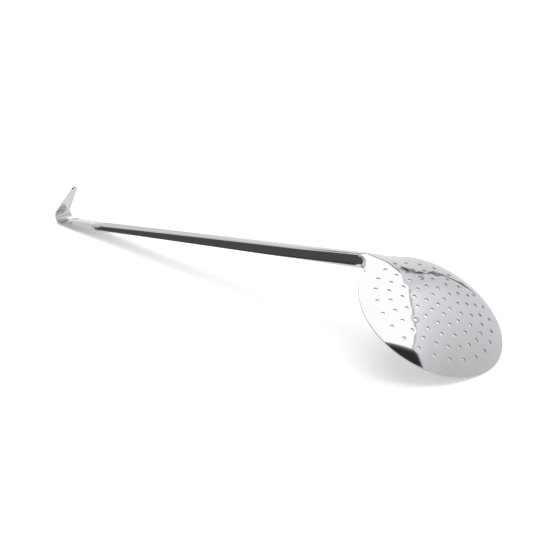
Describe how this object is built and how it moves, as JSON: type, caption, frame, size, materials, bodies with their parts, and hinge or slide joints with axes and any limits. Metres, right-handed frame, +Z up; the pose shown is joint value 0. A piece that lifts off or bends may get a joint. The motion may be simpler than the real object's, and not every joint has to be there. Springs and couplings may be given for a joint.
{
  "type": "skimmer",
  "caption": "Stainless-steel kitchen skimmer: a shallow round bowl with drain holes, welded to a long arched strip handle that ends in a flat hook for hanging on a rail.",
  "frame": {"origin": "on the table, under the middle of the tool's box, as it lies with the bowl's back up", "axes": "+X along the tool from the hook to the bowl's far rim, +Y across it, +Z up from the table"},
  "size_m": [0.4958, 0.1198, 0.0639],
  "materials": {
    "bowl_steel": "mirror-polished stainless steel",
    "handle_steel": "mirror-polished stainless steel",
    "weld_steel": "ground and polished stainless steel"
  },
  "bodies": {
    "root": {"bowl": "bowl_steel", "handle": "handle_steel", "neck_weld": "weld_steel"}
  },
  "joints": []
}
